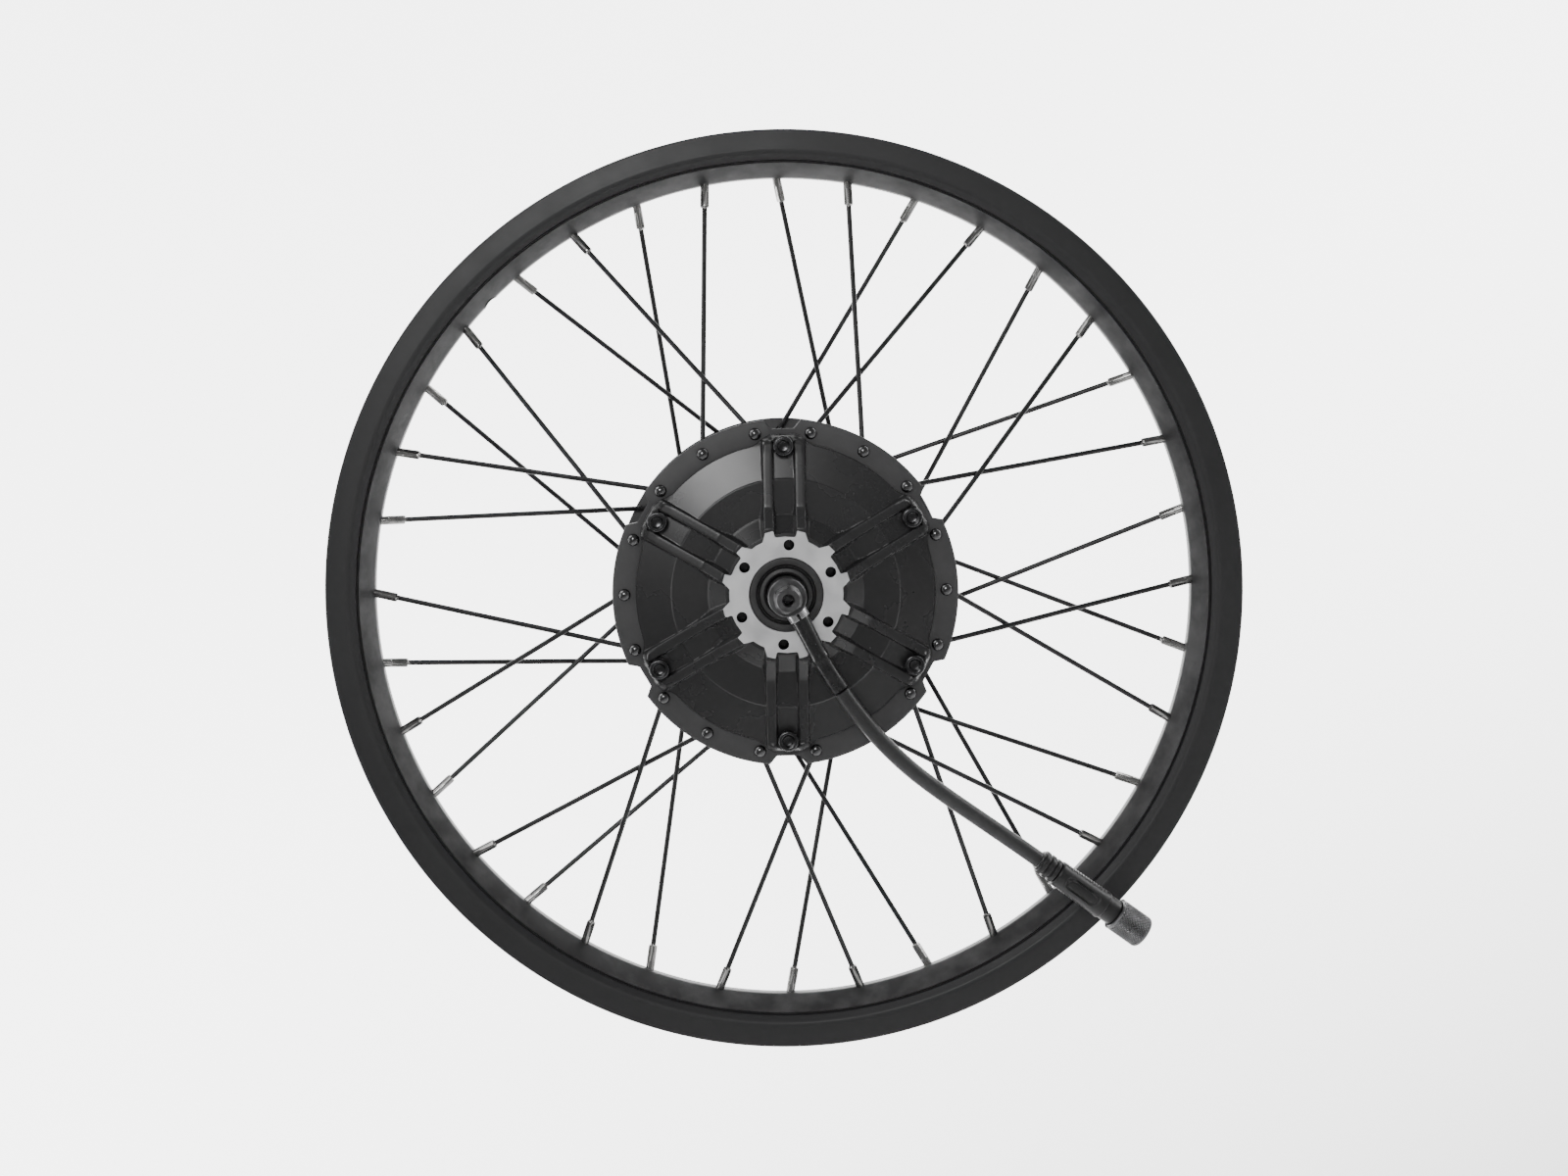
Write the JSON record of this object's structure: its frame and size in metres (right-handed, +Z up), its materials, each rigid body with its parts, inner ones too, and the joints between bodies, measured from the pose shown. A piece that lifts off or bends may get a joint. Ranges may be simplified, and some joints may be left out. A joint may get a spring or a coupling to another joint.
{
  "type": "hub motor wheel",
  "caption": "Spoked wheel rim around a geared motor hub with a disc brake mount, flatted axle ends and a short cable with a screw-on connector.",
  "frame": {"origin": "centre of the axle, midway between the two dropout faces and on the rim's centre plane", "axes": "+Y along the axle towards the drive side (the freewheel thread), -Y towards the disc brake side, +Z up, with the cable leaving the axle downwards"},
  "size_m": [0.42, 0.164, 0.4265],
  "materials": {
    "rim_paint": "satin black coating over aluminium",
    "hub_paint": "satin black paint over cast aluminium, with the brake mount machined bare",
    "spoke_steel": "black spokes with bright nickel nipples",
    "bolt_steel": "black oxide",
    "axle_steel": "dark plated",
    "grey_steel": "matt grey",
    "bright_steel": "ground bright",
    "bare_aluminium": "machined",
    "copper": "enamelled copper wire",
    "magnet": "nickel plated",
    "circuit_board": "green lacquer",
    "nylon": "off-white moulded",
    "black_rubber": "matt black",
    "cable_jacket": "satin black",
    "connector_plastic": "satin black",
    "gun_metal": "knurled dark nickel"
  },
  "bodies": {
    "axle": {"axle": "axle_steel", "stator_hub": "bare_aluminium", "stator_core": "grey_steel", "stator_winding": "copper", "hall_sensor_board": "circuit_board", "planet_carrier": "grey_steel", "one_way_clutch": "bright_steel", "planet_pin_1": "bright_steel", "planet_pin_2": "bright_steel", "planet_pin_3": "bright_steel", "drive_side_spacer": "grey_steel", "drive_side_locknut": "bright_steel", "cable_boot": "black_rubber", "motor_cable": "cable_jacket", "connector_strain_relief": "black_rubber", "connector_body": "connector_plastic"},
    "wheel": {"rim": "rim_paint", "disc_side_spoke_pair_1": "spoke_steel", "disc_side_spoke_pair_2": "spoke_steel", "disc_side_spoke_pair_3": "spoke_steel", "disc_side_spoke_pair_4": "spoke_steel", "disc_side_spoke_pair_5": "spoke_steel", "disc_side_spoke_pair_6": "spoke_steel", "disc_side_spoke_pair_7": "spoke_steel", "disc_side_spoke_pair_8": "spoke_steel", "disc_side_spoke_pair_9": "spoke_steel", "drive_side_spoke_pair_1": "spoke_steel", "drive_side_spoke_pair_2": "spoke_steel", "drive_side_spoke_pair_3": "spoke_steel", "drive_side_spoke_pair_4": "spoke_steel", "drive_side_spoke_pair_5": "spoke_steel", "drive_side_spoke_pair_6": "spoke_steel", "drive_side_spoke_pair_7": "spoke_steel", "drive_side_spoke_pair_8": "spoke_steel", "drive_side_spoke_pair_9": "spoke_steel", "hub_shell": "hub_paint", "disc_side_cover": "hub_paint", "cover_bolt_1": "bolt_steel", "cover_bolt_2": "bolt_steel", "cover_bolt_3": "bolt_steel", "cover_bolt_4": "bolt_steel", "cover_bolt_5": "bolt_steel", "cover_bolt_6": "bolt_steel", "ring_gear": "grey_steel", "disc_side_bearing": "bright_steel", "drive_side_bearing": "bright_steel", "axle_seal": "black_rubber"},
    "rotor": {"rotor_can": "grey_steel", "magnet_ring": "magnet", "sun_gear": "bright_steel", "rotor_bearing": "bright_steel"},
    "planet_1": {"planet_gear_1": "nylon"},
    "planet_2": {"planet_gear_2": "nylon"},
    "planet_3": {"planet_gear_3": "nylon"},
    "connector_nut": {"connector_nut": "gun_metal"}
  },
  "joints": [
    {"name": "wheel_spin", "type": "hinge", "parent": "axle", "child": "wheel", "pos_m": [0, 0, 0], "axis": [0, 1, 0], "continuous": true},
    {"name": "rotor_spin", "type": "hinge", "parent": "axle", "child": "rotor", "pos_m": [0, 0, 0], "axis": [0, 1, 0], "continuous": true},
    {"name": "planet_1_spin", "type": "hinge", "parent": "axle", "child": "planet_1", "pos_m": [0.0273, 0, 0], "axis": [0, 1, 0], "continuous": true},
    {"name": "planet_2_spin", "type": "hinge", "parent": "axle", "child": "planet_2", "pos_m": [-0.01365, 0, 0.02364], "axis": [0, 1, 0], "continuous": true},
    {"name": "planet_3_spin", "type": "hinge", "parent": "axle", "child": "planet_3", "pos_m": [-0.01365, 0, -0.02364], "axis": [0, 1, 0], "continuous": true},
    {"name": "connector_nut_turn", "type": "hinge", "parent": "axle", "child": "connector_nut", "pos_m": [0.05539, -0.03671, -0.20638], "axis": [0.3977, 0.0599, -0.9155], "continuous": true}
  ],
  "couplings": [
    {"joint": "rotor_spin", "follows": "wheel_spin", "ratio": -4.2},
    {"joint": "planet_1_spin", "follows": "wheel_spin", "ratio": 2.625},
    {"joint": "planet_2_spin", "follows": "wheel_spin", "ratio": 2.625},
    {"joint": "planet_3_spin", "follows": "wheel_spin", "ratio": 2.625}
  ]
}
